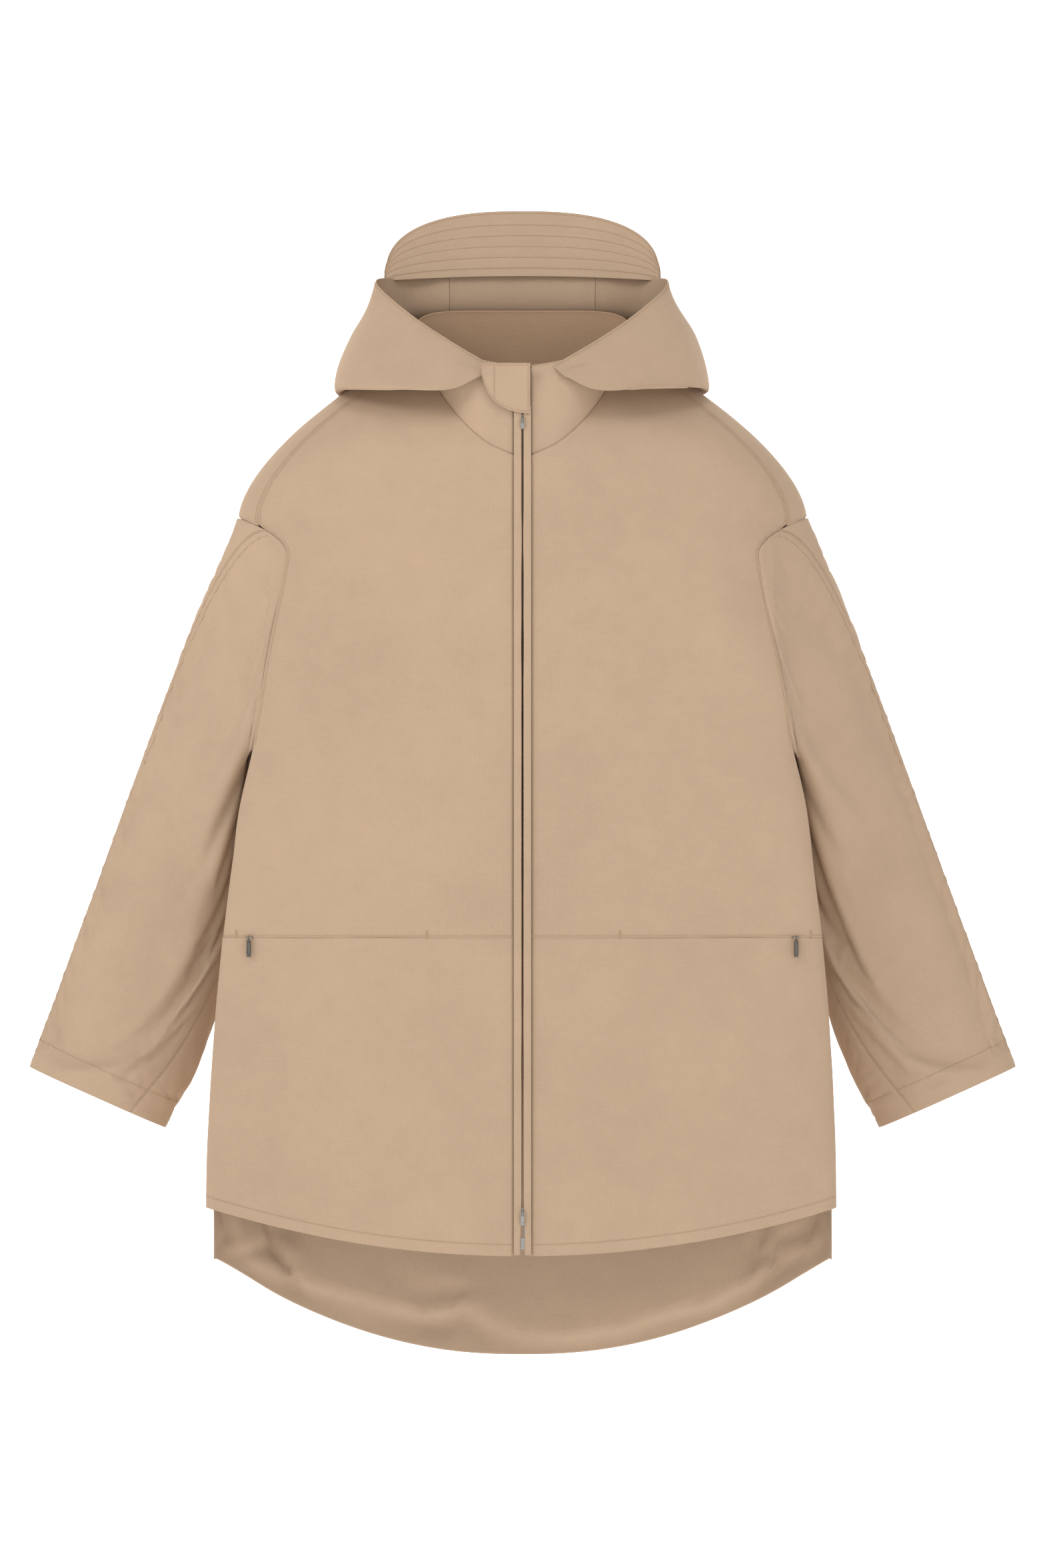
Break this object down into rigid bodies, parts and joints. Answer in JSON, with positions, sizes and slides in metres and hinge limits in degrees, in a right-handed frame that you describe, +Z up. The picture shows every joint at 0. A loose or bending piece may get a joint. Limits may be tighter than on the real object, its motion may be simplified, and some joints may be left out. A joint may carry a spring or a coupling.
{
  "type": "hooded jacket",
  "caption": "Long A-line hooded jacket in plain canvas, with a two-way front zip under narrow flaps, throat tab, stitched hood peak, zip pockets, wide sleeves and a longer rounded back hem.",
  "frame": {"origin": "between the wearer's shoulders, on the middle plane, at the height where the hood's fold lies on the shoulders", "axes": "+Z up, the front faces -Y, +X to the wearer's left"},
  "size_m": [1.0324, 0.2945, 1.206],
  "materials": {
    "canvas": "matt cotton canvas, tan",
    "lining": "matt cotton, a darker tan",
    "stiffener": "stiff bonded interlining",
    "zip_black": "black woven tape and coil",
    "metal": "gunmetal, satin"
  },
  "bodies": {
    "torso": {"front_upper_left": "canvas", "front_upper_right": "canvas", "front_lower_left": "canvas", "front_lower_right": "canvas", "shoulder_left": "canvas", "shoulder_right": "canvas", "collar_front_left": "canvas", "collar_front_right": "canvas", "front_flap_left": "canvas", "front_flap_right": "canvas", "main_tape_left": "zip_black", "main_tape_right": "zip_black", "main_chain_left": "zip_black", "main_chain_right": "zip_black", "pocket_bag_left": "lining", "pocket_bag_right": "lining", "pocket_tape_upper_left": "zip_black", "pocket_tape_upper_right": "zip_black", "pocket_tape_lower_left": "zip_black", "pocket_tape_lower_right": "zip_black", "pocket_chain_upper_left": "zip_black", "pocket_chain_upper_right": "zip_black", "pocket_chain_lower_left": "zip_black", "pocket_chain_lower_right": "zip_black", "back_panel": "canvas", "collar_back": "lining", "hood_side_left": "canvas", "hood_side_right": "canvas", "hood_centre": "canvas", "snap_stud": "metal", "zip_box": "metal", "zip_pin": "metal"},
    "sleeve_left": {"sleeve_front_left": "canvas", "sleeve_back_left": "canvas"},
    "sleeve_right": {"sleeve_front_right": "canvas", "sleeve_back_right": "canvas"},
    "peak": {"peak_outer": "canvas", "peak_stiffener": "stiffener", "peak_facing": "canvas"},
    "throat_tab": {"throat_tab": "canvas", "snap_socket": "metal"},
    "slider_top": {"main_slider_top": "metal"},
    "pull_top": {"main_pull_top": "metal"},
    "slider_bottom": {"main_slider_bottom": "metal"},
    "pull_bottom": {"main_pull_bottom": "metal"},
    "pocket_slider_left": {"pocket_slider_left": "metal"},
    "pocket_slider_right": {"pocket_slider_right": "metal"},
    "pocket_pull_left": {"pocket_pull_left": "metal"},
    "pocket_pull_right": {"pocket_pull_right": "metal"}
  },
  "joints": [
    {"name": "sleeve_swing_left", "type": "hinge", "parent": "torso", "child": "sleeve_left", "pos_m": [0.298, -0.015, -0.126], "axis": [0, -1, 0], "range_deg": [0, 25]},
    {"name": "sleeve_swing_right", "type": "hinge", "parent": "torso", "child": "sleeve_right", "pos_m": [-0.298, -0.015, -0.126], "axis": [0, 1, 0], "range_deg": [0, 25]},
    {"name": "peak_fold", "type": "hinge", "parent": "torso", "child": "peak", "pos_m": [0, 0.0658, 0.1338], "axis": [-1, 0, 0], "range_deg": [0, 60]},
    {"name": "tab_swing", "type": "hinge", "parent": "torso", "child": "throat_tab", "pos_m": [0.008, -0.1214, 0.006], "axis": [0, 0, 1], "range_deg": [0, 150]},
    {"name": "main_slider_top_travel", "type": "slide", "parent": "torso", "child": "slider_top", "axis": [0, 0, -1], "range_m": [0, 0.4]},
    {"name": "main_slider_bottom_travel", "type": "slide", "parent": "torso", "child": "slider_bottom", "axis": [0, 0, 1], "range_m": [0, 0.38]},
    {"name": "main_pull_top_swing", "type": "hinge", "parent": "slider_top", "child": "pull_top", "pos_m": [0, -0.1218, -0.027], "axis": [-1, 0, 0], "range_deg": [0, 120]},
    {"name": "main_pull_bottom_swing", "type": "hinge", "parent": "slider_bottom", "child": "pull_bottom", "pos_m": [0, -0.1218, -0.846], "axis": [-1, 0, 0], "range_deg": [0, 120]},
    {"name": "pocket_slider_left_travel", "type": "slide", "parent": "torso", "child": "pocket_slider_left", "axis": [-0.9961, -0.0877, 0], "range_m": [0, 0.17]},
    {"name": "pocket_pull_left_swing", "type": "hinge", "parent": "pocket_slider_left", "child": "pocket_pull_left", "pos_m": [0.28354, -0.09735, -0.562], "axis": [-0.9961, -0.0877, 0], "range_deg": [0, 100]},
    {"name": "pocket_slider_right_travel", "type": "slide", "parent": "torso", "child": "pocket_slider_right", "axis": [0.9961, -0.0877, 0], "range_m": [0, 0.17]},
    {"name": "pocket_pull_right_swing", "type": "hinge", "parent": "pocket_slider_right", "child": "pocket_pull_right", "pos_m": [-0.28354, -0.09735, -0.562], "axis": [-0.9961, 0.0877, 0], "range_deg": [0, 100]}
  ]
}
